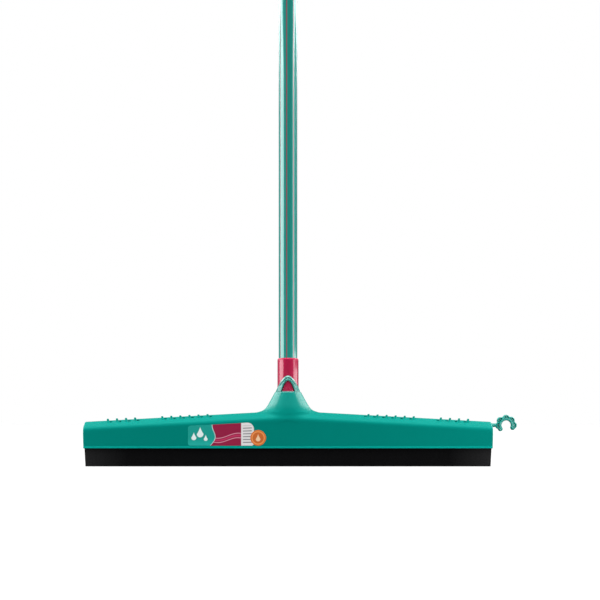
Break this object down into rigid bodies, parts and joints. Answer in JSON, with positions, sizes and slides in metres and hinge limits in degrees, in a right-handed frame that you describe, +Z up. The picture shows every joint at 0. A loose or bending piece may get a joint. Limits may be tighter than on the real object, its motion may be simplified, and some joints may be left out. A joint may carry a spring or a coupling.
{
  "type": "floor squeegee",
  "caption": "Floor squeegee with a moulded head, twin foam blades, cloth teeth, a scalloped side hook and a film-covered steel handle that screws into a socket in the flared neck.",
  "frame": {"origin": "on the floor between the two blades, under the axis of the handle", "axes": "+X along the head towards the side hook, +Y from the front face to the rear face, +Z up along the handle"},
  "size_m": [0.4487, 0.0408, 1.279],
  "materials": {
    "head_plastic": "satin",
    "blade_foam": "matte",
    "socket_plastic": "satin",
    "plug_plastic": "satin",
    "tube_steel": "satin",
    "printed_film": "gloss",
    "sticker_print": "satin"
  },
  "bodies": {
    "head": {"head_shell": "head_plastic", "side_hook": "head_plastic", "front_blade": "blade_foam", "rear_blade": "blade_foam", "socket_insert": "socket_plastic"},
    "handle_core": {"threaded_plug": "plug_plastic"},
    "handle_grip": {"handle_tube": "tube_steel", "handle_film": "printed_film", "hang_cap": "socket_plastic"}
  },
  "joints": [
    {"name": "handle_rise", "type": "slide", "parent": "head", "child": "handle_core", "axis": [0, 0, 1], "range_m": [0, 0.025]},
    {"name": "handle_turn", "type": "hinge", "parent": "handle_core", "child": "handle_grip", "pos_m": [0, 0, 0.1], "axis": [0, 0, 1], "range_deg": [0, 1800]}
  ],
  "couplings": [
    {"joint": "handle_turn", "follows": "handle_rise", "rad_per_m": 1256.6}
  ]
}
